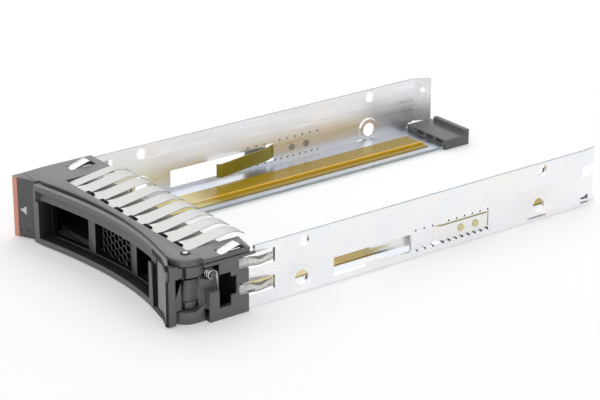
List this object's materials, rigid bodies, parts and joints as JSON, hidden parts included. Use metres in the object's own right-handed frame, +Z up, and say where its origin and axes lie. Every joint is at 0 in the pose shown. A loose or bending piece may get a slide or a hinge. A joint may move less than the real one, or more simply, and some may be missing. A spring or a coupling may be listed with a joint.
{
  "type": "hot swap drive caddy",
  "caption": "Open drive caddy: moulded bezel with a swing eject lever, sliding latch and spring finger gaskets, on bent steel side rails",
  "frame": {"origin": "middle of the footprint, on the surface that the caddy rests on", "axes": "X across the caddy, Y from the bezel to the rear, Z up"},
  "size_m": [0.0756, 0.1374, 0.0176],
  "materials": {
    "dark_plastic": "fine texture",
    "black_plastic": "satin",
    "grey_plastic": "fine texture",
    "latch_plastic": "satin",
    "lens_plastic": "gloss",
    "rail_steel": "zinc plated",
    "spring_steel": "satin",
    "pin_steel": "polished",
    "amber_film": "clear film",
    "amber_leaf": "amber coating"
  },
  "bodies": {
    "frame": {"bezel_body": "dark_plastic", "bezel_cap": "dark_plastic", "indicator_plate": "dark_plastic", "activity_light_pipe": "lens_plastic", "status_light_pipes": "lens_plastic", "pivot_pin": "pin_steel", "kick_spring": "spring_steel", "vent_screen": "black_plastic", "finger_gasket_top": "spring_steel", "side_gasket_right": "spring_steel", "side_gasket_left": "spring_steel", "right_rail": "rail_steel", "left_rail": "rail_steel", "right_leaf_spring": "amber_leaf", "left_leaf_spring": "amber_leaf", "right_leaf_rivets": "pin_steel", "left_leaf_rivets": "pin_steel", "right_film": "amber_film", "left_film": "amber_film", "rear_guide_right": "black_plastic", "rear_guide_left": "black_plastic"},
    "lever": {"lever_handle": "dark_plastic", "label_panel": "grey_plastic"},
    "latch": {"release_latch": "latch_plastic", "latch_spring": "spring_steel"}
  },
  "joints": [
    {"name": "lever_swing", "type": "hinge", "parent": "frame", "child": "lever", "pos_m": [0.0309, -0.0604, 0.008], "axis": [0, 0, 1], "range_deg": [0, 65]},
    {"name": "latch_slide", "type": "slide", "parent": "frame", "child": "latch", "axis": [-1, 0, 0], "range_m": [0, 0.0015], "stiffness_N_per_m": 300, "deforming": ["latch_spring"]}
  ]
}
